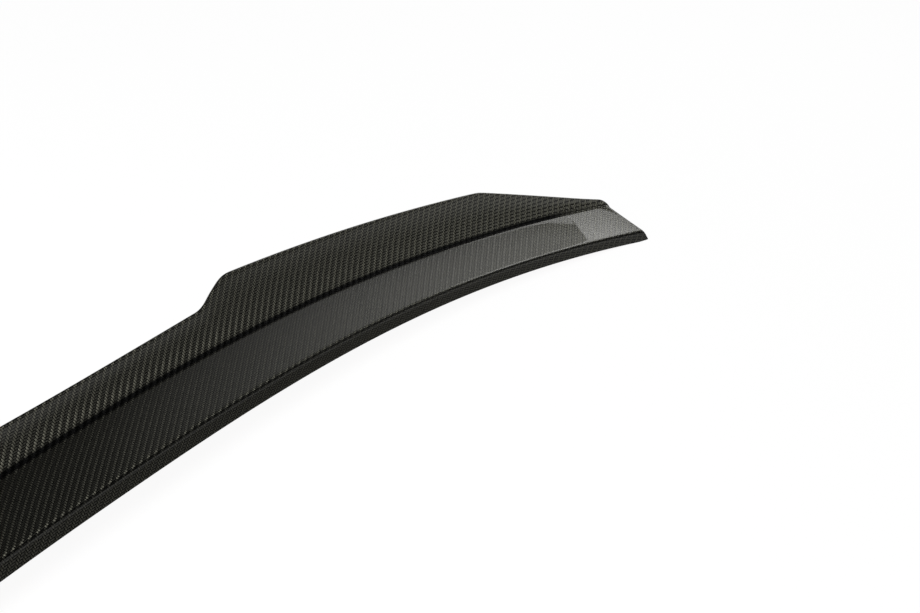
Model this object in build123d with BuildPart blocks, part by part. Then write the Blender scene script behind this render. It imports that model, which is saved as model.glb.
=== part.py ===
"""Lip spoiler for a car's boot lid: a moulded body with raised sides and a lowered centre, and its bonding tape.

X runs along the width, Y to the rear of the car and Z up. The body stands on Z = 0 with its rear skirt and
its two end pads, and the underside between them follows the crown of the boot lid.
"""
from build123d import *
from math import cos, radians, sin, sqrt, tan
import os

# Driving dimensions, in millimetres and degrees
half_width = 560.0         # centre line to each end
lead_middle = -0.8         # middle of the leading edge, from the origin
lead_sweep = 102.0         # the ends of the leading edge lie this far forward of its middle
sweep_power = 2.6          # how late that sweep sets in along the width
lid_crown = 20.0           # rise of the boot lid's crown above the end pads
pad_length = 12.0          # flat pad under each end

band_run = 5.4             # lean of the leading band, foot to top
band_height_mid = 10.3
band_height_end = 8.2
band_round = 3.5           # tangent length of the round between band and flange

flange_depth_mid = 63.5    # band to crease
flange_depth_end = 47.5
flange_rise_end = 14.0     # climb of the flange at the ends, level in the middle
rim_rise = 1.0             # flare of the crease beside the end edge
rim_width = 26.0

kick_angle = 44.0          # kick-up above the horizontal
height_centre = 18.9       # kick-up's height on the centre line
height_foot = 22.2         # at the step's foot
height_step = 35.2         # at the step's head
height_corner = 29.7       # at the outer corner
height_end = 2.8           # at the end edge
step_start = 139.5         # the step's foot, from the centre line
step_end = 187.3           # the step's head
step_blend = 14.0          # length of the bends at the step's foot and head
corner_x = 449.0           # the trailing edge's outer corner
crease_reach = 5.0         # tangent length of the crease's round
kick_hollow = 1.2          # the kick-up's face is this much concave
edge_thickness = 4.5       # trailing edge
edge_bevel = 1.3           # bevel on both sides of the trailing edge
edge_round = 0.75          # tangent length of the rounds on each corner of those bevels
edge_back = 2.0            # straight stretch behind the trailing edge

rear_offset_mid = 15.0     # crease to the foot of the rear face
rear_offset_end = 4.0
skirt_thickness = 5.0      # skirt that hangs behind the boot lid's edge
end_corner_radius = 5.0    # rear corner of each end, seen from above
end_round = 4.0            # round along the top of each end

land_width = 17.0          # bonding land along each long side of the underside
land_end = 40.0            # and at each end
relief_depth = 2.5         # underside between the lands

tape_width = 12.0
tape_thickness = 1.2       # foam with its release liner
tape_setback = 2.5         # front tape from the leading edge, rear tape from the skirt
tape_end_gap = 32.0        # tape stops this short of the ends

# Sizes that follow
crown_half = half_width - pad_length
lid_radius = (crown_half ** 2 + lid_crown ** 2) / (2 * lid_crown)
kick_slope = tan(radians(kick_angle))
kick_along = (cos(radians(kick_angle)), sin(radians(kick_angle)))
kick_normal = (sin(radians(kick_angle)), -cos(radians(kick_angle)))
cut_margin = 40.0          # how far cutting bodies run past what they cut
reach_limit = 0.4          # rounds shrink with a short band or kick-up to this share of its length,
hollow_limit = 0.03        # and the kick-up's hollow to this share
end_reach = max(end_corner_radius, end_round)


def share(x):
    """Distance from the centre line, as a share of the half width."""
    return abs(x) / half_width


def step_ramp(x):
    """Rise of the step from 0 at its foot to 1 at its head: straight, with a bend at both ends."""
    run = step_end - step_start
    along = min(max(abs(x) - step_start, 0.0), run)
    bend = 2 * step_blend * (run - step_blend)
    if along < step_blend:
        return along ** 2 / bend
    if along > run - step_blend:
        return 1 - (run - along) ** 2 / bend
    return (along - step_blend / 2) / (run - step_blend)


def lid_z(x):
    """Height of the boot lid's crown, a long arc over the width."""
    return lid_crown - lid_radius + sqrt(lid_radius ** 2 - x ** 2)


def turned_in(x, radius):
    """How far an edge of this radius has turned in where the end face is near."""
    past = min(max(abs(x) - half_width + radius, 0.0), radius)
    return radius - sqrt(radius ** 2 - past ** 2)


def lead_y(x):
    """Leading edge, seen from above."""
    return lead_middle - lead_sweep * share(x) ** sweep_power


def band_height(x):
    """Height of the leading band."""
    return band_height_mid + (band_height_end - band_height_mid) * share(x) ** 2


def crease(x):
    """Virtual corner between flange and kick-up."""
    depth = flange_depth_mid + (flange_depth_end - flange_depth_mid) * share(x) ** 2
    rim = min(max((abs(x) - half_width + rim_width) / rim_width, 0.0), 1.0)
    rise = flange_rise_end * share(x) ** 3 + rim_rise * rim ** 2
    y = lead_y(x) + band_run + depth - turned_in(x, end_corner_radius)
    return y, lid_z(x) + band_height(x) + rise - turned_in(x, end_round)


def kick_height(x):
    """Kick-up's height: low in the centre, up over the step, down past the outer corner to the end."""
    low = height_centre + (height_foot - height_centre) * (x / step_start) ** 2
    raised = height_step + (height_corner - height_step) * (abs(x) - step_end) / (corner_x - step_end)
    stepped = low + (raised - low) * step_ramp(x)
    run_out = (half_width - abs(x)) / (half_width - corner_x)
    falling = height_end + (height_corner - height_end) * run_out
    return min(stepped, falling)


def rear_y(x):
    """Foot of the rear face, seen from above."""
    offset = rear_offset_mid + (rear_offset_end - rear_offset_mid) * share(x) ** 4
    return crease(x)[0] + offset


def skirt_y(x):
    """Front face of the skirt, seen from above."""
    return rear_y(x) - skirt_thickness


def toward(start, end, distance):
    """Point at a distance from start on the way to end."""
    length = sqrt((end[0] - start[0]) ** 2 + (end[1] - start[1]) ** 2)
    part = distance / length
    return start[0] + (end[0] - start[0]) * part, start[1] + (end[1] - start[1]) * part


def beside(point, along, across):
    """Point moved along the kick-up, and across it towards the rear."""
    y = point[0] + along * kick_along[0] + across * kick_normal[0]
    z = point[1] + along * kick_along[1] + across * kick_normal[1]
    return y, z


def section(x):
    """Closed profile of the body at one place, from the foot of the band round to the rear foot."""
    front = lead_y(x) + turned_in(x, end_round)
    foot = (front - band_run * lid_z(x) / band_height(x), 0.0)
    band_top = (front + band_run, lid_z(x) + band_height(x) - turned_in(x, end_round))
    corner = crease(x)
    rise = kick_height(x)
    kick_top = (corner[0] + rise / kick_slope, corner[1] + rise)
    kick_length = rise / kick_along[1]
    reach = min(crease_reach, reach_limit * kick_length)
    hollow = min(kick_hollow, hollow_limit * kick_length)
    edge = [
        beside(kick_top, edge_round, 0.0),
        beside(kick_top, edge_round + edge_bevel, edge_bevel),
        beside(kick_top, edge_round + edge_bevel, edge_thickness - edge_bevel),
        beside(kick_top, edge_round, edge_thickness),
        beside(kick_top, -edge_back, edge_thickness),
    ]
    rear = (rear_y(x), 0.0)
    rear_bend_z = corner[1] + (rear[0] - corner[0]) * kick_slope - edge_thickness / kick_along[0]

    band_reach = min(band_round, reach_limit * sqrt(band_run ** 2 + (band_top[1] - lid_z(x)) ** 2))
    band_end = toward(band_top, foot, band_reach)
    flange_start = toward(band_top, corner, band_reach)
    flange_end = toward(corner, band_top, reach)
    kick_start = toward(corner, kick_top, reach)
    kick_middle = beside(toward(kick_start, kick_top, (kick_length - reach) / 2), 0.0, 2 * hollow)
    with BuildSketch(Plane.YZ.offset(x)) as profile:
        with BuildLine():
            Line(foot, band_end)
            Bezier(band_end, band_top, flange_start)
            Line(flange_start, flange_end)
            Bezier(flange_end, corner, kick_start)
            Bezier(kick_start, kick_middle, kick_top)
            Bezier(kick_top, edge[0], toward(edge[0], edge[1], edge_round))
            for before, bend, after in zip(edge, edge[1:], edge[2:]):
                Line(toward(before, bend, edge_round), toward(bend, before, edge_round))
                Bezier(toward(bend, before, edge_round), bend, toward(bend, after, edge_round))
            Line(toward(edge[3], edge[4], edge_round), edge[4])
            Bezier(edge[4], (rear[0], rear_bend_z), rear)
            Line(rear, foot)
        make_face()
    return profile.sketch


def spread(start, end, count):
    """Places at even distances, from start up to but without end."""
    return [start + (end - start) * i / count for i in range(count)]


def middle_stations():
    """Places of the profiles from one outer corner to the other: close together over the two steps."""
    margin = (step_end - step_start) / 2
    before = step_start - margin
    after = step_end + margin
    half = spread(0.0, before, 4) + spread(before, after, 12) + spread(after, corner_x, 8) + [corner_x]
    return [-place for place in reversed(half[1:])] + half


def side_stations():
    """Places of the profiles from an outer corner to the end corner beside it."""
    last = half_width - end_reach
    return spread(corner_x, last, 6) + [last]


def end_stations():
    """Places of the profiles around the rounds of one end, from the end corner out."""
    turns = [1 - sin(radians(turn)) for turn in (0, 15, 30, 45, 60, 75, 90)]
    return [half_width - end_reach * turn for turn in turns]


def crown_layer(front, rear, reach, low, high):
    """Body between two curves seen from above, and between two heights over the boot lid's crown."""
    places = [reach * i / 12 for i in range(-12, 13)]
    far = half_width + cut_margin
    with BuildPart() as layer:
        with BuildSketch(Plane.XY.offset(-cut_margin)):
            with BuildLine():
                front_line = Spline(*[(x, front(x)) for x in places])
                rear_line = Spline(*[(x, rear(x)) for x in places])
                Line(front_line @ 0, rear_line @ 0)
                Line(front_line @ 1, rear_line @ 1)
            make_face()
        extrude(amount=3 * cut_margin)
        with BuildSketch(Plane.XZ):
            with BuildLine():
                top = ThreePointArc((-far, lid_z(far) + high), (0, lid_crown + high), (far, lid_z(far) + high))
                base = ThreePointArc((-far, lid_z(far) + low), (0, lid_crown + low), (far, lid_z(far) + low))
                Line(top @ 0, base @ 0)
                Line(top @ 1, base @ 1)
            make_face()
        extrude(amount=lead_sweep + 4 * flange_depth_mid, both=True, mode=Mode.INTERSECT)
    return layer.part


lid = crown_layer(
    lambda x: lead_y(x) - cut_margin,
    skirt_y,
    half_width + cut_margin / 2,
    -lid_crown - cut_margin,
    0.0,
)
relief = crown_layer(
    lambda x: lead_y(x) + land_width,
    lambda x: skirt_y(x) - land_width,
    half_width - land_end,
    -tape_thickness,
    relief_depth,
)

# Moulded body: profiles carried across the width, then the boot lid's form taken out of the underside
with BuildPart() as spoiler_shell:
    loft(sections=[section(x) for x in middle_stations()])
    for side in (-1, 1):
        loft(sections=[section(side * x) for x in side_stations()])
        loft(sections=[section(side * x) for x in end_stations()], ruled=True)
    add(lid, mode=Mode.SUBTRACT)
    add(relief, mode=Mode.SUBTRACT)

# Bonding tape on the two lands
tape_reach = half_width - tape_end_gap
with BuildPart() as front_tape:
    add(crown_layer(
        lambda x: lead_y(x) + tape_setback,
        lambda x: lead_y(x) + tape_setback + tape_width,
        tape_reach,
        -tape_thickness,
        0.0,
    ))

with BuildPart() as rear_tape:
    add(crown_layer(
        lambda x: skirt_y(x) - tape_setback - tape_width,
        lambda x: skirt_y(x) - tape_setback,
        tape_reach,
        -tape_thickness,
        0.0,
    ))

os.makedirs("parts", exist_ok=True)
spoiler_shell.part.label = "spoiler_shell"
export_step(spoiler_shell.part, "parts/spoiler_shell.step")
front_tape.part.label = "front_tape"
export_step(front_tape.part, "parts/front_tape.step")
rear_tape.part.label = "rear_tape"
export_step(rear_tape.part, "parts/rear_tape.step")
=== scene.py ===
"""Looks of a boot-lid lip spoiler: a moulded carbon-fibre body under clear coat, with tape underneath.

Everything is in metres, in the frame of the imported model: X along the width, Y to the rear of the car, Z up.
"""

import logging
import math
from dataclasses import dataclass, field
from enum import Enum

import bpy
import numpy as np
from mathutils import Matrix, Vector


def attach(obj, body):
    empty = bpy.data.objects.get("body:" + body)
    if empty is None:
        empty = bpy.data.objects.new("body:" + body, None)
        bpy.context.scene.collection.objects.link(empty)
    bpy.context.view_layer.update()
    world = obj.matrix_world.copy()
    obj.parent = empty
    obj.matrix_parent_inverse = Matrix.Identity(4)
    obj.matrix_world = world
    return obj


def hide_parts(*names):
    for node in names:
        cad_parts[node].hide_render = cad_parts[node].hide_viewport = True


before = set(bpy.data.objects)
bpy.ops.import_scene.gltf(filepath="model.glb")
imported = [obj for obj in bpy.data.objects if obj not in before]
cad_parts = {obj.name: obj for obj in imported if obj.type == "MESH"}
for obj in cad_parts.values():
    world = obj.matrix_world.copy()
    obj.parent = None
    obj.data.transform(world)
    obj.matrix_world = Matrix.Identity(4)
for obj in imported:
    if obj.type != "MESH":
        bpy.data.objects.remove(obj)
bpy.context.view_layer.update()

MM = 0.001
BODY = "root"
PHOTO_WIDTH = 920
SHARP_ANGLE = math.radians(38)

LOG = logging.getLogger("spoiler")

Colour = tuple[float, float, float, float]
Curve = tuple[np.ndarray, np.ndarray]


class Slot(Enum):
    """Names of the record's material slots."""

    CARBON = "carbon_twill"
    TAPE = "bonding_tape"


class Edge(Enum):
    """Which long edge of the underside a tape strip follows."""

    FRONT = "front"
    REAR = "rear"


@dataclass(frozen=True)
class SpoilerForm:
    """Curves of the moulding over the width, as formulas of x."""

    half_width: float = 560 * MM
    lead_middle: float = -0.8 * MM
    lead_sweep: float = 102 * MM
    sweep_power: float = 2.6
    lid_crown: float = 20 * MM
    pad_length: float = 12 * MM
    band_run: float = 5.4 * MM
    band_height_mid: float = 10.3 * MM
    band_height_end: float = 8.2 * MM
    band_round: float = 3.5 * MM
    flange_depth_mid: float = 63.5 * MM
    flange_depth_end: float = 47.5 * MM
    flange_rise_end: float = 14 * MM
    rim_rise: float = 1.0 * MM
    rim_width: float = 26 * MM
    kick_angle: float = math.radians(44)
    height_centre: float = 18.9 * MM
    height_foot: float = 22.2 * MM
    height_step: float = 35.2 * MM
    height_corner: float = 29.7 * MM
    height_end: float = 2.8 * MM
    step_start: float = 139.5 * MM
    step_end: float = 187.3 * MM
    step_blend: float = 14 * MM
    corner_x: float = 449 * MM
    corner_soft: float = 0.6 * MM
    crease_reach: float = 5.0 * MM
    reach_limit: float = 0.4
    kick_hollow: float = 1.2 * MM
    hollow_limit: float = 0.03
    edge_thickness: float = 4.5 * MM
    edge_bevel: float = 1.3 * MM
    edge_round: float = 0.75 * MM
    edge_back: float = 2.0 * MM
    rear_offset_mid: float = 15 * MM
    rear_offset_end: float = 4 * MM
    skirt_thickness: float = 5 * MM
    end_corner_radius: float = 5 * MM
    end_round: float = 4 * MM
    land_width: float = 17 * MM
    land_end: float = 40 * MM
    relief_depth: float = 2.5 * MM

    def share(self, x: np.ndarray) -> np.ndarray:
        """Distance from the centre line as a share of the half width."""
        return np.abs(x) / self.half_width

    def turned_in(self, x: np.ndarray, radius: float) -> np.ndarray:
        """How far a round of this radius has turned in near the end face: a quarter circle."""
        past = np.clip(np.abs(x) - self.half_width + radius, 0.0, radius)
        return radius - np.sqrt(np.maximum(radius**2 - past**2, 0.0))

    def lid_z(self, x: np.ndarray) -> np.ndarray:
        """Crown of the boot lid: one long arc over the width."""
        half = self.half_width - self.pad_length
        radius = (half**2 + self.lid_crown**2) / (2 * self.lid_crown)
        return self.lid_crown - radius + np.sqrt(radius**2 - x**2)

    def lead_y(self, x: np.ndarray) -> np.ndarray:
        """Leading edge from above: a power curve that sweeps forward to the ends."""
        return self.lead_middle - self.lead_sweep * self.share(x) ** self.sweep_power

    def band_height(self, x: np.ndarray) -> np.ndarray:
        """Height of the leading band: falls with the square of the share."""
        return self.band_height_mid + (self.band_height_end - self.band_height_mid) * self.share(x) ** 2

    def crease(self, x: np.ndarray) -> Curve:
        """Corner line between flange and kick-up: the flange's depth behind the band, climbing to the ends.

        Args:
            x: Places along the width.

        Returns:
            Arrays of y and z.
        """
        share = self.share(x)
        depth = self.flange_depth_mid + (self.flange_depth_end - self.flange_depth_mid) * share**2
        rim = np.clip((np.abs(x) - self.half_width + self.rim_width) / self.rim_width, 0.0, 1.0)
        rise = self.flange_rise_end * share**3 + self.rim_rise * rim**2
        y = self.lead_y(x) + self.band_run + depth - self.turned_in(x, self.end_corner_radius)
        z = self.lid_z(x) + self.band_height(x) + rise - self.turned_in(x, self.end_round)
        return y, z

    def step_ramp(self, x: np.ndarray) -> np.ndarray:
        """Rise of the step from 0 to 1: a straight line with a parabola at its foot and at its head."""
        run = self.step_end - self.step_start
        along = np.clip(np.abs(x) - self.step_start, 0.0, run)
        bend = 2 * self.step_blend * (run - self.step_blend)
        middle = (along - self.step_blend / 2) / (run - self.step_blend)
        upper = np.where(along > run - self.step_blend, 1 - (run - along) ** 2 / bend, middle)
        return np.where(along < self.step_blend, along**2 / bend, upper)

    def kick_height(self, x: np.ndarray) -> np.ndarray:
        """Height of the kick-up: low in the middle, a step up beside it, a straight fall past the corner.

        The lower of two curves counts, with their crossing eased by a root of their squared difference.

        Args:
            x: Places along the width.

        Returns:
            Heights above the crease.
        """
        along = np.abs(x)
        low = self.height_centre + (self.height_foot - self.height_centre) * (x / self.step_start) ** 2
        spread = (along - self.step_end) / (self.corner_x - self.step_end)
        raised = self.height_step + (self.height_corner - self.height_step) * spread
        stepped = low + (raised - low) * self.step_ramp(x)
        run_out = (self.half_width - along) / (self.half_width - self.corner_x)
        falling = self.height_end + (self.height_corner - self.height_end) * run_out
        return (stepped + falling - np.sqrt((stepped - falling) ** 2 + self.corner_soft**2)) / 2

    def rear_y(self, x: np.ndarray) -> np.ndarray:
        """Foot of the rear face, seen from above."""
        offset = self.rear_offset_mid + (self.rear_offset_end - self.rear_offset_mid) * self.share(x) ** 4
        return self.crease(x)[0] + offset

    def skirt_y(self, x: np.ndarray) -> np.ndarray:
        """Front face of the rear skirt, seen from above."""
        return self.rear_y(x) - self.skirt_thickness

    def beside(self, point: Curve, along: float, across: float) -> Curve:
        """A curve moved along the kick-up, and across it towards the rear."""
        cosine = math.cos(self.kick_angle)
        sine = math.sin(self.kick_angle)
        return point[0] + along * cosine + across * sine, point[1] + along * sine - across * cosine


def toward(start: Curve, end: Curve, distance: float | np.ndarray) -> Curve:
    """Points at a distance from start on the straight way to end."""
    part = distance / np.hypot(end[0] - start[0], end[1] - start[1])
    return start[0] + (end[0] - start[0]) * part, start[1] + (end[1] - start[1]) * part


def straight(start: Curve, end: Curve, shares: np.ndarray) -> np.ndarray:
    """Rows between two curves: start plus each share of the way to end.

    Args:
        start: First curve, y and z over the columns.
        end: Last curve.
        shares: Places of the rows, from 0 to 1.

    Returns:
        Array of rows, columns and (y, z).
    """
    first = np.stack(start, axis=-1)[None]
    last = np.stack(end, axis=-1)[None]
    return first + (last - first) * shares[:, None, None]


def bent(start: Curve, corner: Curve, end: Curve, shares: np.ndarray) -> np.ndarray:
    """Rows of a round: a parabola from start to end that is drawn towards the corner between them.

    Args:
        start: Curve where the round begins.
        corner: Virtual corner.
        end: Curve where the round ends.
        shares: Places of the rows, from 0 to 1.

    Returns:
        Array of rows, columns and (y, z).
    """
    t = shares[:, None, None]
    points = [np.stack(curve, axis=-1)[None] for curve in (start, corner, end)]
    return (1 - t) ** 2 * points[0] + 2 * t * (1 - t) * points[1] + t**2 * points[2]


def surface_run(points: np.ndarray) -> np.ndarray:
    """Way over the surface from the first row to each row: the running sum of the steps between rows."""
    steps = np.linalg.norm(np.diff(points, axis=0), axis=-1)
    return np.concatenate([np.zeros((1, points.shape[1])), np.cumsum(steps, axis=0)])


def grid_mesh(name: str, points: np.ndarray, cloth: np.ndarray) -> bpy.types.Object:
    """Closed mesh of a profile carried along a path: quads around the loop, and one flat face at each end.

    Args:
        name: Name of the object and its mesh.
        points: Array of rows, columns and (x, y, z); the rows close on themselves.
        cloth: Array of rows, columns and (u, v), laid out as the UV map.

    Returns:
        The new object, at the origin.
    """
    rows, columns = points.shape[:2]
    index = np.arange(rows * columns).reshape(rows, columns)
    following = np.roll(index, -1, axis=0)
    quads = np.stack(
        [index[:, :-1], index[:, 1:], following[:, 1:], following[:, :-1]], axis=-1
    ).reshape(-1, 4)
    faces = quads.tolist() + [index[:, 0].tolist(), index[::-1, -1].tolist()]
    mesh = bpy.data.meshes.new(name)
    mesh.from_pydata(points.reshape(-1, 3), [], faces)
    corners = np.empty(len(mesh.loops), dtype=np.int32)
    mesh.loops.foreach_get("vertex_index", corners)
    layer = mesh.uv_layers.new(name="cloth")
    layer.uv.foreach_set("vector", cloth.reshape(-1, 2)[corners].astype(np.float32).ravel())
    mesh.polygons.foreach_set("use_smooth", np.ones(len(mesh.polygons), dtype=bool))
    mesh.set_sharp_from_angle(angle=SHARP_ANGLE)
    mesh.update()
    piece = bpy.data.objects.new(name, mesh)
    bpy.context.scene.collection.objects.link(piece)
    return piece


class NodeSketch:
    """Short hand for the node tree of a material or of the world."""

    def __init__(self, owner: bpy.types.Material | bpy.types.World, shader: str = "Principled BSDF") -> None:
        """Starts the owner's nodes.

        Args:
            owner: New material or world.
            shader: Name of the shader node that it begins with.
        """
        owner.use_nodes = True
        self.tree = owner.node_tree
        self.shader = self.tree.nodes[shader]

    def node(self, kind: str, **settings: object) -> bpy.types.Node:
        """Adds a node and sets its properties."""
        made = self.tree.nodes.new(kind)
        for key, value in settings.items():
            setattr(made, key, value)
        return made

    def plug(self, target: bpy.types.NodeSocket, value: object) -> None:
        """Links a socket to a socket, or sets its value."""
        if isinstance(value, bpy.types.NodeSocket):
            self.tree.links.new(value, target)
        else:
            target.default_value = value

    def math(self, operation: str, *values: object) -> bpy.types.NodeSocket:
        """One arithmetic step on numbers or sockets.

        Args:
            operation: Name of the Math node's operation.
            values: Its inputs in order.

        Returns:
            The result's socket.
        """
        made = self.node("ShaderNodeMath", operation=operation)
        for socket, value in zip(made.inputs, values):
            self.plug(socket, value)
        return made.outputs[0]

    def blend(self, share: object, first: object, second: object) -> bpy.types.NodeSocket:
        """Mixes two colours by a share."""
        made = self.node("ShaderNodeMix", data_type="RGBA")
        self.plug(made.inputs["Factor"], share)
        self.plug(made.inputs["A"], first)
        self.plug(made.inputs["B"], second)
        return made.outputs["Result"]

    def ramp(
        self,
        value: object,
        limits: tuple[float, float],
        ends: tuple[float, float],
        shape: str = "SMOOTHSTEP",
    ) -> bpy.types.NodeSocket:
        """Step of a value between two limits, from the first end to the second.

        Args:
            value: Number or socket that is mapped.
            limits: Values where the step begins and ends.
            ends: Results there.
            shape: Name of the Map Range node's interpolation.

        Returns:
            The result's socket.
        """
        made = self.node("ShaderNodeMapRange", interpolation_type=shape)
        self.plug(made.inputs["Value"], value)
        for socket, number in zip(("From Min", "From Max", "To Min", "To Max"), limits + ends):
            self.plug(made.inputs[socket], number)
        return made.outputs[0]

    def noise(self, vector: object, scale: float, detail: float) -> bpy.types.NodeSocket:
        """Soft noise from 0 to 1 at a scale."""
        made = self.node("ShaderNodeTexNoise")
        self.plug(made.inputs["Vector"], vector)
        self.plug(made.inputs["Scale"], scale)
        self.plug(made.inputs["Detail"], detail)
        return made.outputs["Fac"]

    def stretched(self, vector: object, x: float, y: float, z: float) -> bpy.types.NodeSocket:
        """Scales a coordinate by three factors."""
        made = self.node("ShaderNodeMapping")
        self.plug(made.inputs["Vector"], vector)
        self.plug(made.inputs["Scale"], (x, y, z))
        return made.outputs["Vector"]

    def bump(self, height: object, distance: float, strength: float) -> bpy.types.NodeSocket:
        """Normal of a relief of this height."""
        made = self.node("ShaderNodeBump")
        self.plug(made.inputs["Height"], height)
        self.plug(made.inputs["Distance"], distance)
        self.plug(made.inputs["Strength"], strength)
        return made.outputs["Normal"]

    def set(self, socket: str, value: object) -> None:
        """Sets or links a socket of the shader."""
        self.plug(self.shader.inputs[socket], value)


@dataclass(frozen=True)
class CarbonTwill:
    """Two-by-two twill of carbon tows under a gloss clear coat, laid by the piece's cloth coordinates."""

    tow: float = 1.633 * MM
    # Painted sheen: lit and shaded copies of one carbon colour for the two tow directions.
    along: Colour = (0.130, 0.128, 0.108, 1.0)
    across: Colour = (0.165, 0.162, 0.130, 1.0)
    gap: Colour = (0.003, 0.003, 0.003, 1.0)
    relief: float = 0.16 * MM
    cover_heights: tuple[float, float] = (0.1, 0.75)
    cover_top: float = 1.15
    streak_long: float = 150.0
    streak_fine: float = 6000.0
    streak_gain: float = 0.7
    streak_base: float = 0.55
    fibre_roughness: float = 0.42
    fibre_stretch: float = 0.94
    coat_weight: float = 0.45
    coat_roughness: float = 0.03

    def build(self) -> bpy.types.Material:
        """Makes the material.

        A tow runs along u in rows counted by v, another along v in columns counted by u. The one along u
        lies on top where column minus row, modulo four, is under two. Each tow is crowned across its width
        and dips at both ends of its float. The glint of the fibres is turned a quarter between the two.
        The tow across the width is coloured lighter than the one along it, a painted sheen, and a share of
        painted shade per vertex darkens the colour in the crease and on the band.

        Returns:
            The finished material.
        """
        material = bpy.data.materials.new("carbon_twill")
        sketch = NodeSketch(material)
        cloth = sketch.node("ShaderNodeUVMap", uv_map="cloth").outputs["UV"]
        split = sketch.node("ShaderNodeSeparateXYZ")
        sketch.plug(split.inputs[0], cloth)
        across = sketch.math("DIVIDE", split.outputs["X"], self.tow)
        up = sketch.math("DIVIDE", split.outputs["Y"], self.tow)
        column = sketch.math("FLOOR", across)
        row = sketch.math("FLOOR", up)
        in_column = sketch.math("SUBTRACT", across, column)
        in_row = sketch.math("SUBTRACT", up, row)
        phase = sketch.math("FLOORED_MODULO", sketch.math("SUBTRACT", column, row), 4.0)
        along_u = sketch.math("LESS_THAN", phase, 1.5)
        u_float = sketch.math("MULTIPLY", sketch.math("ADD", phase, in_column), 0.5)
        v_phase = sketch.math("SUBTRACT", 4.0, phase)
        v_place = sketch.math("SUBTRACT", sketch.math("ADD", v_phase, in_row), 1.0)
        v_float = sketch.math("MULTIPLY", v_place, 0.5)
        height = self._crown(sketch, along_u, (in_row, u_float), (in_column, v_float))
        streaks = self._streaks(sketch, cloth, along_u)
        # Painted sheen: the tow across the width is lighter, standing in for the fibres' glint.
        tows = sketch.blend(along_u, self.across, self.along)
        raised = sketch.ramp(height, self.cover_heights, (0.0, self.cover_top))
        cover = sketch.math("MULTIPLY", raised, streaks)
        # Painted shade: a per-vertex share darkens the colour in the crease and on the band.
        painted_shade = sketch.node("ShaderNodeAttribute", attribute_name="painted_shade").outputs["Fac"]
        cover = sketch.math("MULTIPLY", cover, sketch.math("SUBTRACT", 1.0, painted_shade))
        sketch.set("Base Color", sketch.blend(cover, self.gap, tows))
        sketch.set("Metallic", 1.0)
        sketch.set("Roughness", self.fibre_roughness)
        sketch.set("Anisotropic", self.fibre_stretch)
        tangent = sketch.node("ShaderNodeTangent", direction_type="UV_MAP", uv_map="cloth")
        sketch.set("Tangent", tangent.outputs["Tangent"])
        sketch.set("Anisotropic Rotation", sketch.math("MULTIPLY", along_u, 0.25))
        sketch.set("Normal", sketch.bump(height, self.relief, 1.0))
        sketch.set("Coat Weight", self.coat_weight)
        sketch.set("Coat Roughness", self.coat_roughness)
        return material

    @staticmethod
    def _crown(
        sketch: NodeSketch,
        along_u: bpy.types.NodeSocket,
        first: tuple[bpy.types.NodeSocket, bpy.types.NodeSocket],
        second: tuple[bpy.types.NodeSocket, bpy.types.NodeSocket],
    ) -> bpy.types.NodeSocket:
        """Height of the cloth: a sine across the tow times the root of a sine along its float.

        Args:
            sketch: Node tree that is being made.
            along_u: 1 where the tow along u is on top.
            first: Places across and along the tow that runs along u, each from 0 to 1.
            second: The same for the tow that runs along v.

        Returns:
            Height from 0 to 1.
        """
        heights = []
        for place, run in (first, second):
            crown = sketch.math("SINE", sketch.math("MULTIPLY", place, math.pi))
            dip = sketch.math("SINE", sketch.math("MULTIPLY", run, math.pi))
            heights.append(sketch.math("MULTIPLY", crown, sketch.math("SQRT", sketch.math("ABSOLUTE", dip))))
        difference = sketch.math("SUBTRACT", heights[0], heights[1])
        return sketch.math("MULTIPLY_ADD", difference, along_u, heights[1])

    def _streaks(
        self, sketch: NodeSketch, cloth: bpy.types.NodeSocket, along_u: bpy.types.NodeSocket
    ) -> bpy.types.NodeSocket:
        """Fine streaks of the fibres: noise drawn out along the tow that is on top.

        Args:
            sketch: Node tree that is being made.
            cloth: Cloth coordinates in metres.
            along_u: 1 where the tow along u is on top.

        Returns:
            Factor around 0.9.
        """
        long_u = sketch.noise(sketch.stretched(cloth, self.streak_long, self.streak_fine, 1.0), 1.0, 2.0)
        long_v = sketch.noise(sketch.stretched(cloth, self.streak_fine, self.streak_long, 1.0), 1.0, 2.0)
        chosen = sketch.math("MULTIPLY_ADD", sketch.math("SUBTRACT", long_u, long_v), along_u, long_v)
        return sketch.math("MULTIPLY_ADD", chosen, self.streak_gain, self.streak_base)


@dataclass(frozen=True)
class FoamCore:
    """Grey closed-cell foam of the bonding tape."""

    light: Colour = (0.16, 0.16, 0.165, 1.0)
    dark: Colour = (0.09, 0.09, 0.095, 1.0)
    cell_scale: float = 1800.0
    cell_relief: float = 0.15 * MM
    roughness: float = 0.85

    def build(self) -> bpy.types.Material:
        """Makes the material: fine cells as noise in colour and relief."""
        material = bpy.data.materials.new("tape_foam")
        sketch = NodeSketch(material)
        place = sketch.node("ShaderNodeTexCoord").outputs["Object"]
        cells = sketch.noise(place, self.cell_scale, 3.0)
        sketch.set("Base Color", sketch.blend(cells, self.dark, self.light))
        sketch.set("Roughness", self.roughness)
        sketch.set("Normal", sketch.bump(cells, self.cell_relief, 0.8))
        return material


@dataclass(frozen=True)
class ReleaseFilm:
    """Thin red film that covers the tape's glue until it is fitted."""

    light: Colour = (0.62, 0.035, 0.04, 1.0)
    dark: Colour = (0.50, 0.022, 0.028, 1.0)
    wave_scale: tuple[float, float, float] = (40.0, 160.0, 40.0)
    wave_relief: float = 0.2 * MM
    roughness: float = 0.32

    def build(self) -> bpy.types.Material:
        """Makes the material: soft waves of the film in colour, and a light sheen."""
        material = bpy.data.materials.new("release_film")
        sketch = NodeSketch(material)
        place = sketch.node("ShaderNodeTexCoord").outputs["Object"]
        waves = sketch.noise(sketch.stretched(place, *self.wave_scale), 1.0, 3.0)
        sketch.set("Base Color", sketch.blend(waves, self.dark, self.light))
        sketch.set("Roughness", self.roughness)
        sketch.set("Normal", sketch.bump(waves, self.wave_relief, 0.5))
        return material


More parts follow.
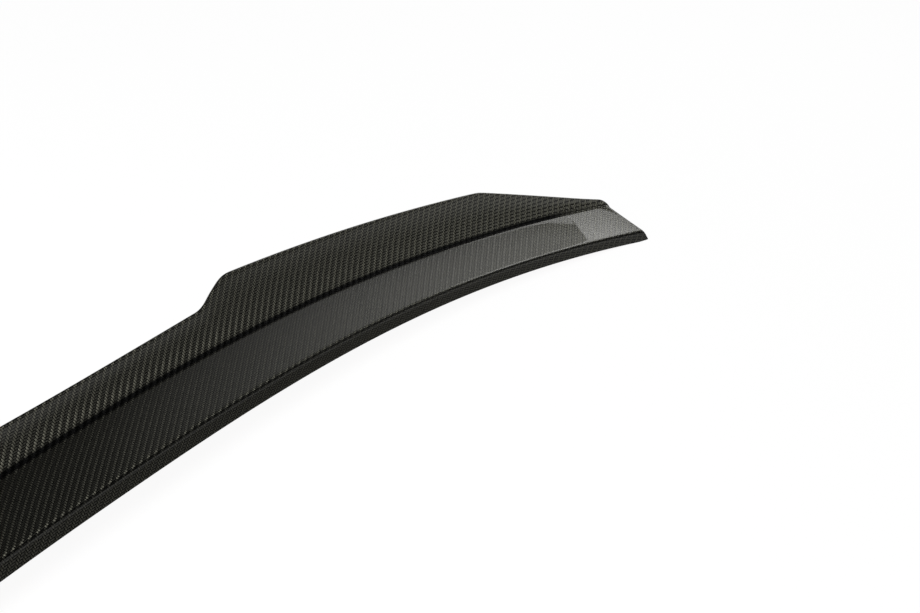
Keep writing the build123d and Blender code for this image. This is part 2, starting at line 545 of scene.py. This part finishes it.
@dataclass
class CarbonShell:
    """The moulded body: one closed skin from the leading band over the top to the skirt and the underside."""

    form: SpoilerForm
    finish: CarbonTwill = field(default_factory=CarbonTwill)
    column_step: float = 2.4 * MM
    wall_draft: float = 0.3 * MM
    # Painted shade: dark lines along the band's upper round and in the crease, and shade over the band.
    band_shade_line: float = 0.8 * MM
    band_painted_shade: float = 0.6
    crease_shade_line: float = 2.8 * MM
    crease_shade_fade: tuple[float, float] = (0.500, 0.540)
    kick_lay: tuple[float, float] = (0.98, 0.60)
    flange_lay: tuple[float, float] = (1.13, 0.50)
    pull_power: float = 1.5
    flats: tuple[float, ...] = (0.0, 0.04, 0.2, 0.4, 0.6, 0.8, 0.96)
    round_rows: int = 12
    edge_arc_rows: int = 4
    rear_rows: int = 18
    end_columns: int = 16
    under_splits: tuple[int, ...] = (2, 4, 3, 1, 6, 1, 3)
    name: str = "carbon_body"

    def columns(self) -> np.ndarray:
        """Places along the width: even steps, closer over the end rounds and beside the relief's ends.

        Returns:
            Rising array of x.
        """
        form = self.form
        reach = max(form.end_corner_radius, form.end_round)
        last = form.half_width - reach
        even = np.linspace(0.0, last, round(last / self.column_step))
        end = last + reach * np.sin(np.linspace(0.0, math.pi / 2, self.end_columns + 1)[1:])
        relief = form.half_width - form.land_end + self.wall_draft * np.array([-1.0, 1.0])
        half = np.unique(np.concatenate([even, end, relief]).round(9))
        return np.concatenate([-half[:0:-1], half])

    def top_rows(self, x: np.ndarray) -> np.ndarray:
        """Rows of the outer skin: band, round, flange, crease, hollow kick-up, bevelled edge and rear face.

        Args:
            x: Columns along the width.

        Returns:
            Array of rows, columns and (y, z).
        """
        form = self.form
        turned = form.turned_in(x, form.end_round)
        front = form.lead_y(x) + turned
        foot_z = np.maximum(form.lid_z(x), 0.0)
        foot = (front + form.band_run * (foot_z - form.lid_z(x)) / form.band_height(x), foot_z)
        band_top = (front + form.band_run, form.lid_z(x) + form.band_height(x) - turned)
        corner = form.crease(x)
        rise = form.kick_height(x)
        length = rise / math.sin(form.kick_angle)
        kick_top = (corner[0] + rise / math.tan(form.kick_angle), corner[1] + rise)
        reach = np.minimum(form.crease_reach, form.reach_limit * length)
        hollow = np.minimum(form.kick_hollow, form.hollow_limit * length)
        kick_start = toward(corner, kick_top, reach)
        kick_middle = form.beside(toward(kick_start, kick_top, (length - reach) / 2), 0.0, 2 * hollow)
        flats = np.array(self.flats)
        fine = np.linspace(0.0, 1.0, self.round_rows + 1)[:-1]
        band_length = np.hypot(form.band_run, band_top[1] - form.lid_z(x))
        band_reach = np.minimum(form.band_round, form.reach_limit * band_length)
        band_end = toward(band_top, foot, band_reach)
        flange_start = toward(band_top, corner, band_reach)
        flange_end = toward(corner, band_top, reach)
        rows = [
            straight(foot, band_end, flats),
            bent(band_end, band_top, flange_start, fine),
            straight(flange_start, flange_end, flats),
            bent(flange_end, corner, kick_start, fine),
            bent(kick_start, kick_middle, kick_top, fine),
        ]
        return np.concatenate(rows + self.edge_rows(x, kick_top))

    def edge_rows(self, x: np.ndarray, kick_top: Curve) -> list[np.ndarray]:
        """Rows of the trailing edge, a bevelled strip with rounded corners, and of the rear face below it.

        Args:
            x: Columns along the width.
            kick_top: Upper end of the kick-up's face.

        Returns:
            List of row arrays down to the rear foot, which is left out.
        """
        form = self.form
        size = form.edge_round
        bevel = form.edge_bevel
        thick = form.edge_thickness
        places = [(size, 0.0), (size + bevel, bevel), (size + bevel, thick - bevel), (size, thick)]
        bends = [form.beside(kick_top, along, across) for along, across in places]
        bends.append(form.beside(kick_top, -form.edge_back, thick))
        arc = np.linspace(0.0, 1.0, self.edge_arc_rows + 1)[:-1]
        single = np.array([0.0])
        rows = [bent(kick_top, bends[0], toward(bends[0], bends[1], size), arc)]
        for before, bend, after in zip(bends, bends[1:], bends[2:]):
            start = toward(bend, before, size)
            rows.append(straight(toward(before, bend, size), start, single))
            rows.append(bent(start, bend, toward(bend, after, size), arc))
        rows.append(straight(toward(bends[3], bends[4], size), bends[4], np.array([0.0, 0.5])))
        corner = form.crease(x)
        rear = (form.rear_y(x), np.zeros_like(x))
        slope = math.tan(form.kick_angle)
        bend_z = corner[1] + (rear[0] - corner[0]) * slope - thick / math.cos(form.kick_angle)
        rows.append(bent(bends[4], (rear[0], bend_z), rear, np.linspace(0.0, 1.0, self.rear_rows + 1)[:-1]))
        return rows

    def under_rows(self, x: np.ndarray) -> np.ndarray:
        """Rows of the underside: skirt, rear land, relief and front land, all on the lid's crown.

        Args:
            x: Columns along the width.

        Returns:
            Array of rows, columns and (y, z).
        """
        form = self.form
        draft = self.wall_draft
        floor = np.zeros_like(x)
        crown = np.maximum(form.lid_z(x), 0.0)
        inside = np.clip((form.half_width - form.land_end - np.abs(x)) / draft * 0.5 + 0.5, 0.0, 1.0)
        raised = crown + form.relief_depth * inside
        skirt = form.skirt_y(x)
        lead = form.lead_y(x) + form.turned_in(x, form.end_round)
        rear_land = form.skirt_y(x) - form.land_width
        front_land = form.lead_y(x) + form.land_width
        curves = [
            (form.rear_y(x), floor),
            (skirt, floor),
            (skirt - draft, crown),
            (rear_land + draft, crown),
            (rear_land - draft, raised),
            (front_land + draft, raised),
            (front_land - draft, crown),
        ]
        following = curves[1:] + [(lead, crown)]
        rows = [
            straight(start, end, np.linspace(0.0, 1.0, count + 1)[:-1])
            for start, end, count in zip(curves, following, self.under_splits)
        ]
        return np.concatenate(rows)

    def cloth(self, x: np.ndarray, points: np.ndarray, crease_row: int) -> np.ndarray:
        """Cloth coordinates: u along the crease's arc, v across it, both in metres and square to each other.

        A point's way from the crease is split into its part along the crease's tangent, which is added to u,
        and the rest, which is v. The way is measured over the surface. Towards the ends the cloth is pulled,
        so that v counts less there: by a power of the share of the half width.

        Args:
            x: Columns along the width.
            points: Array of rows, columns and (y, z).
            crease_row: Row of the crease.

        Returns:
            Array of rows, columns and (u, v).
        """
        line = np.stack([x, *self.form.crease(x)], axis=-1)
        steps = np.linalg.norm(np.diff(line, axis=0), axis=-1)
        run = np.concatenate([[0.0], np.cumsum(steps)])
        run -= np.interp(0.0, x, run)
        tangent = np.gradient(line, run, axis=0)
        way = points - points[crease_row]
        slide = way[..., 0] * tangent[:, 1] + way[..., 1] * tangent[:, 2]
        length = surface_run(points)
        length = length - length[crease_row]
        lean = np.sqrt(1 - np.clip(tangent[:, 1], -0.9, 0.9) ** 2)
        pull = self.form.share(x) ** self.pull_power
        kick, flange = (first - fall * pull for first, fall in (self.kick_lay, self.flange_lay))
        lay = np.where(length > 0.0, kick, flange)
        return np.stack([run + slide, length * lean * lay], axis=-1)

    def painted_shade(self, x: np.ndarray, points: np.ndarray, band_row: int, crease_row: int) -> np.ndarray:
        """Share of painted shade over the cloth: the band, a line along its edge and a wider one in the
        crease.

        It darkens the colour to stand in for shade and dark reflections: over the band, along its upper
        round and in the concave crease. Each line falls off smoothly with the distance over the surface.
        The crease's line fades out where the kick-up has nearly run out.

        Args:
            x: Columns along the width.
            points: Array of rows, columns and (y, z).
            band_row: Row in the middle of the band's upper round.
            crease_row: Row of the crease.

        Returns:
            Array of rows and columns, from 0 to 1.
        """
        length = surface_run(points)
        inner, outer = self.crease_shade_fade
        fade = np.clip((outer - np.abs(x)) / (outer - inner), 0.0, 1.0)
        lines = []
        for row, half, depth in ((band_row, self.band_shade_line, 0.9), (crease_row, self.crease_shade_line, fade)):
            near = np.clip(1.5 - np.abs(length - length[row]) / half, 0.0, 1.0)
            lines.append(near * near * (3 - 2 * near) * depth)
        lines.append(np.where(length < length[band_row], self.band_painted_shade, 0.0))
        return np.max(lines, axis=0)

    def build(self) -> bpy.types.Object:
        """Builds and dresses the body.

        Returns:
            The finished piece, riding on the part's one body in place of its solid.
        """
        x = self.columns()
        section = np.concatenate([self.top_rows(x), self.under_rows(x)])
        band_row = len(self.flats) + self.round_rows // 2
        crease_row = band_row + self.round_rows + len(self.flats)
        cloth = self.cloth(x, section, crease_row)
        # Painted shade in the crease and on the band, kept per vertex for the material.
        painted_shade = self.painted_shade(x, section, band_row, crease_row)
        across = np.broadcast_to(x, section.shape[:2])[..., None]
        piece = grid_mesh(self.name, np.concatenate([across, section], axis=-1), cloth)
        shares = piece.data.attributes.new("painted_shade", "FLOAT", "POINT")
        shares.data.foreach_set("value", painted_shade.astype(np.float32).ravel())
        piece.data.materials.append(self.finish.build())
        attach(piece, BODY)
        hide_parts("spoiler_shell")
        return piece


@dataclass
class TapeStrip:
    """One strip of bonding tape: a foam core on the land and a release film under it."""

    form: SpoilerForm
    edge: Edge
    foam: bpy.types.Material
    film: bpy.types.Material
    width: float = 12 * MM
    thickness: float = 1.2 * MM
    setback: float = 2.5 * MM
    end_gap: float = 32 * MM
    film_thickness: float = 0.12 * MM
    film_overhang: float = 0.35 * MM
    columns: int = 301
    face_rows: int = 6

    def front_y(self, x: np.ndarray) -> np.ndarray:
        """Front edge of the strip: set back from the leading edge, or its own width ahead of the skirt."""
        if self.edge is Edge.FRONT:
            return self.form.lead_y(x) + self.setback
        return self.form.skirt_y(x) - self.setback - self.width

    def strip(self, name: str, top: float, base: float, extra: float) -> bpy.types.Object:
        """Closed strip that follows the lid's crown: a flat rectangle carried along the edge's curve.

        Args:
            name: Name of the piece.
            top: Height of the upper face over the crown.
            base: Height of the lower face.
            extra: How much wider the strip is on each side than the tape.

        Returns:
            The new object.
        """
        reach = self.form.half_width - self.end_gap
        x = np.linspace(-reach, reach, self.columns)
        front = self.front_y(x) - extra
        rear = self.front_y(x) + self.width + extra
        crown = self.form.lid_z(x)
        face = np.linspace(0.0, 1.0, self.face_rows + 1)[:-1]
        side = np.array([0.0, 0.5])
        rows = [
            straight((front, crown + top), (rear, crown + top), face),
            straight((rear, crown + top), (rear, crown + base), side),
            straight((rear, crown + base), (front, crown + base), face),
            straight((front, crown + base), (front, crown + top), side),
        ]
        section = np.concatenate(rows)
        across = np.broadcast_to(x, section.shape[:2])[..., None]
        return grid_mesh(name, np.concatenate([across, section], axis=-1), section)

    def build(self) -> list[bpy.types.Object]:
        """Builds the foam and its film.

        Returns:
            Both pieces, riding on the part's one body in place of the tape's solid.
        """
        label = self.edge.value
        seam = -self.thickness + self.film_thickness
        foam = self.strip(f"{label}_tape_foam", 0.0, seam, 0.0)
        film = self.strip(f"{label}_tape_film", seam, -self.thickness, self.film_overhang)
        for piece, material in ((foam, self.foam), (film, self.film)):
            piece.data.materials.append(material)
            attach(piece, BODY)
        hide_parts(f"{label}_tape")
        return [foam, film]


@dataclass(frozen=True)
class SoftLight:
    """One rectangular studio light that looks at a point."""

    name: str
    place: tuple[float, float, float]
    target: tuple[float, float, float]
    width: float
    height: float
    radiance: float

    def build(self) -> bpy.types.Object:
        """Adds the white light; its power is radiance times area times pi."""
        lamp = bpy.data.lights.new(self.name, "AREA")
        lamp.shape = "RECTANGLE"
        lamp.size = self.width
        lamp.size_y = self.height
        lamp.energy = self.radiance * self.width * self.height * math.pi
        made = bpy.data.objects.new(self.name, lamp)
        made.location = self.place
        aim = Vector(self.target) - Vector(self.place)
        made.rotation_euler = aim.to_track_quat("-Z", "Y").to_euler()
        made.visible_camera = False
        bpy.context.scene.collection.objects.link(made)
        return made


@dataclass(frozen=True)
class PhotoCamera:
    """Camera at the photograph's angle, as a place, three turns and a focal length in image pixels."""

    place: tuple[float, float, float] = (-300.32 * MM, -481.62 * MM, 522.18 * MM)
    yaw: float = math.radians(54.584)
    pitch: float = math.radians(33.544)
    roll: float = math.radians(1.640)
    focal_pixels: float = 1049.0
    sensor: float = 36.0
    nearest: float = 10 * MM

    def build(self) -> bpy.types.Object:
        """Adds the camera: yaw turns it from +Y towards +X, pitch looks down, roll turns the image.

        Returns:
            The camera object.
        """
        ahead = Vector((
            math.sin(self.yaw) * math.cos(self.pitch),
            math.cos(self.yaw) * math.cos(self.pitch),
            -math.sin(self.pitch),
        ))
        level = Vector((math.cos(self.yaw), -math.sin(self.yaw), 0.0))
        upright = level.cross(ahead)
        right = level * math.cos(self.roll) + upright * math.sin(self.roll)
        up = upright * math.cos(self.roll) - level * math.sin(self.roll)
        lens = bpy.data.cameras.new("photo_camera")
        lens.sensor_fit = "HORIZONTAL"
        lens.sensor_width = self.sensor
        lens.lens = self.focal_pixels / PHOTO_WIDTH * self.sensor
        lens.clip_start = self.nearest
        made = bpy.data.objects.new("photo_camera", lens)
        turn = Matrix((right, up, -ahead)).transposed().to_4x4()
        made.matrix_world = Matrix.Translation(self.place) @ turn
        bpy.context.scene.collection.objects.link(made)
        bpy.context.scene.camera = made
        return made


@dataclass(frozen=True)
class StudioSky:
    """Dim dome with a soft glow behind on the right and another in front, under a dark ceiling."""

    dim: float = 0.04
    rear_glow: float = 1.25
    rear_side: tuple[float, float] = (0.36, 0.74)
    rear_high: tuple[float, float] = (0.62, 0.74)
    rear_back: tuple[float, float] = (-0.3, 0.0)
    rear_power: float = 1.5
    front_glow: float = 0.85
    front_side: tuple[float, float] = (0.57, 0.76)
    front_low: tuple[float, float] = (0.15, 0.50)
    horizon: tuple[float, float] = (0.02, 0.10)

    def build(self) -> bpy.types.World:
        """Makes the world.

        The rear glow is a power of a ramp over the direction's x, for directions that point backwards and
        not too high. The front glow is a smooth step over minus y, times a smooth step over the height. The
        camera itself sees white, and glossy and transmission rays see white near the horizon.

        Returns:
            The world.
        """
        world = bpy.data.worlds.new("studio_sky")
        sketch = NodeSketch(world, "Background")
        split = sketch.node("ShaderNodeSeparateXYZ")
        sketch.plug(split.inputs[0], sketch.node("ShaderNodeTexCoord").outputs["Generated"])
        x, y, z = split.outputs
        side = sketch.ramp(x, self.rear_side, (0.0, 1.0), "LINEAR")
        rear = sketch.math("MULTIPLY", sketch.math("POWER", side, self.rear_power), self.rear_glow)
        rear = sketch.math("MULTIPLY", rear, sketch.ramp(z, self.rear_high, (1.0, 0.0)))
        rear = sketch.math("MULTIPLY", rear, sketch.ramp(y, self.rear_back, (0.0, 1.0)))
        ahead = sketch.ramp(sketch.math("MULTIPLY", y, -1.0), self.front_side, (0.0, self.front_glow))
        front = sketch.math("MULTIPLY", ahead, sketch.ramp(z, self.front_low, (0.0, 1.0)))
        level = sketch.math("ADD", sketch.math("ADD", rear, front), self.dim)
        rays = sketch.node("ShaderNodeLightPath").outputs
        near = sketch.ramp(sketch.math("ABSOLUTE", z), self.horizon, (1.0, 0.0))
        mirrored = sketch.math("MAXIMUM", rays["Is Glossy Ray"], rays["Is Transmission Ray"])
        mirrored = sketch.math("MULTIPLY", mirrored, near)
        seen = sketch.math("MAXIMUM", rays["Is Camera Ray"], mirrored)
        sketch.set("Strength", sketch.math("MAXIMUM", level, seen))
        sketch.set("Color", (1.0, 1.0, 1.0, 1.0))
        return world


@dataclass
class Studio:
    """Pale floor, soft lights, the sky and the camera."""

    floor_radius: float = 6.0
    floor_colour: Colour = (0.11, 0.11, 0.11, 1.0)
    floor_glow: float = 0.93
    floor_drop: float = 0.2 * MM
    sky: StudioSky = field(default_factory=StudioSky)
    camera: PhotoCamera = field(default_factory=PhotoCamera)
    lights: tuple[SoftLight, ...] = (
        SoftLight("overhead_light", (-1.3, 0.0, 1.7), (0.1, 0.0, 0.0), 1.8, 1.8, 3.6),
        SoftLight("right_panel", (1.40, 0.0, 0.95), (0.52, -0.03, 0.05), 0.36, 0.32, 4.2),
        SoftLight("right_strip", (1.36, 0.30, 0.97), (0.49, 0.01, 0.05), 0.26, 0.12, 3.2),
    )

    def floor_material(self) -> bpy.types.Material:
        """Pale floor that keeps shadows and still reads as white to the camera and in reflections.

        Returns:
            The material: a diffuse share, and a glow that only camera, glossy and transmission rays see. It
            is clear from below.
        """
        material = bpy.data.materials.new("pale_floor")
        sketch = NodeSketch(material)
        sketch.tree.nodes.remove(sketch.shader)
        rays = sketch.node("ShaderNodeLightPath").outputs
        mirrored = sketch.math("MAXIMUM", rays["Is Glossy Ray"], rays["Is Transmission Ray"])
        seen = sketch.math("MAXIMUM", rays["Is Camera Ray"], mirrored)
        diffuse = sketch.node("ShaderNodeBsdfDiffuse")
        sketch.plug(diffuse.inputs["Color"], self.floor_colour)
        glow = sketch.node("ShaderNodeEmission")
        sketch.plug(glow.inputs["Strength"], sketch.math("MULTIPLY", seen, self.floor_glow))
        lit = sketch.node("ShaderNodeAddShader")
        sketch.plug(lit.inputs[0], diffuse.outputs[0])
        sketch.plug(lit.inputs[1], glow.outputs[0])
        side = sketch.node("ShaderNodeMixShader")
        sketch.plug(side.inputs["Fac"], sketch.node("ShaderNodeNewGeometry").outputs["Backfacing"])
        sketch.plug(side.inputs[1], lit.outputs[0])
        sketch.plug(side.inputs[2], sketch.node("ShaderNodeBsdfTransparent").outputs[0])
        sketch.plug(sketch.tree.nodes["Material Output"].inputs["Surface"], side.outputs[0])
        return material

    def floor(self) -> bpy.types.Object:
        """Flat round floor: rings of growing radius about Z.

        Returns:
            The stage object.
        """
        radius = self.floor_radius * np.linspace(0.05, 1.0, 9) ** 2
        angle = np.linspace(0.0, 2 * math.pi, 97)[:-1]
        flat = np.full((len(radius), len(angle)), -self.floor_drop)
        points = np.stack([radius[:, None] * np.cos(angle), radius[:, None] * np.sin(angle), flat], axis=-1)
        index = np.arange(flat.size).reshape(flat.shape)
        beside = np.roll(index, -1, axis=1)
        quads = np.stack([index[:-1], index[1:], beside[1:], beside[:-1]], axis=-1).reshape(-1, 4)
        mesh = bpy.data.meshes.new("studio_floor")
        mesh.from_pydata(points.reshape(-1, 3), [], quads.tolist() + [index[0].tolist()])
        mesh.materials.append(self.floor_material())
        made = bpy.data.objects.new("studio_floor", mesh)
        bpy.context.scene.collection.objects.link(made)
        return made

    def build(self) -> None:
        """Sets up floor, lights, sky, camera and the view transform."""
        self.floor()
        for light in self.lights:
            light.build()
        self.camera.build()
        scene = bpy.context.scene
        scene.world = self.sky.build()
        scene.view_settings.view_transform = "Standard"


def report(piece: bpy.types.Object) -> None:
    """Logs a piece's name, triangles and size."""
    triangles = sum(len(face.vertices) - 2 for face in piece.data.polygons)
    size = ", ".join(f"{edge / MM:.1f}" for edge in piece.dimensions)
    LOG.info("%s: %d triangles, %s mm", piece.name, triangles, size)


def main() -> None:
    """Builds the spoiler's pieces and the studio."""
    logging.basicConfig(level=logging.INFO, format="%(name)s: %(message)s")
    form = SpoilerForm()
    report(CarbonShell(form).build())
    foam = FoamCore().build()
    film = ReleaseFilm().build()
    for edge in Edge:
        for piece in TapeStrip(form, edge, foam, film).build():
            report(piece)
    Studio().build()


if __name__ == "__main__":
    main()
